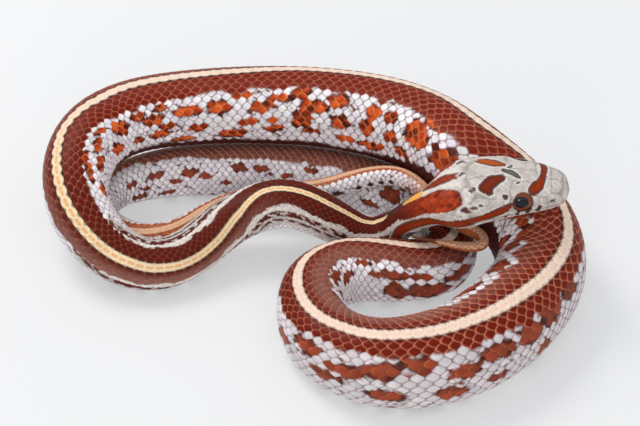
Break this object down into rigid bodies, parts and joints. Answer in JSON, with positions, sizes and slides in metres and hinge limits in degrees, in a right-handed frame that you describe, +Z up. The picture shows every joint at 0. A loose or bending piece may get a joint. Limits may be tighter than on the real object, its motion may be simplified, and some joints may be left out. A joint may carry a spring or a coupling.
{
  "type": "corn snake",
  "caption": "Still, life-size striped corn snake, lying in loops on the floor with its head resting on its own body.",
  "frame": {"origin": "on the floor, under the middle of the coiled snake", "axes": "+Z up from the floor, +X towards the side the snout points to, -Y towards the near loop"},
  "size_m": [0.0933, 0.0704, 0.0256],
  "materials": {
    "head_scales": "smooth plates and small scales, pale grey with red-brown marks, satin",
    "body_scales": "small overlapping scales, dark red and grey with one pale stripe along the back, satin",
    "eyes": "clear glossy eye with a black pupil and a red-brown iris"
  },
  "bodies": {
    "root": {"head": "head_scales", "eye_left": "eyes", "eye_right": "eyes", "neck_1": "body_scales", "neck_2": "body_scales", "neck_3": "body_scales", "neck_4": "body_scales", "torso_1": "body_scales", "torso_2": "body_scales", "torso_3": "body_scales", "torso_4": "body_scales", "torso_5": "body_scales", "torso_6": "body_scales", "torso_7": "body_scales", "torso_8": "body_scales", "torso_9": "body_scales", "torso_10": "body_scales", "torso_11": "body_scales", "torso_12": "body_scales", "torso_13": "body_scales", "tail_1": "body_scales", "tail_2": "body_scales", "tail_3": "body_scales", "tail_4": "body_scales", "tail_5": "body_scales", "tail_6": "body_scales"}
  },
  "joints": []
}
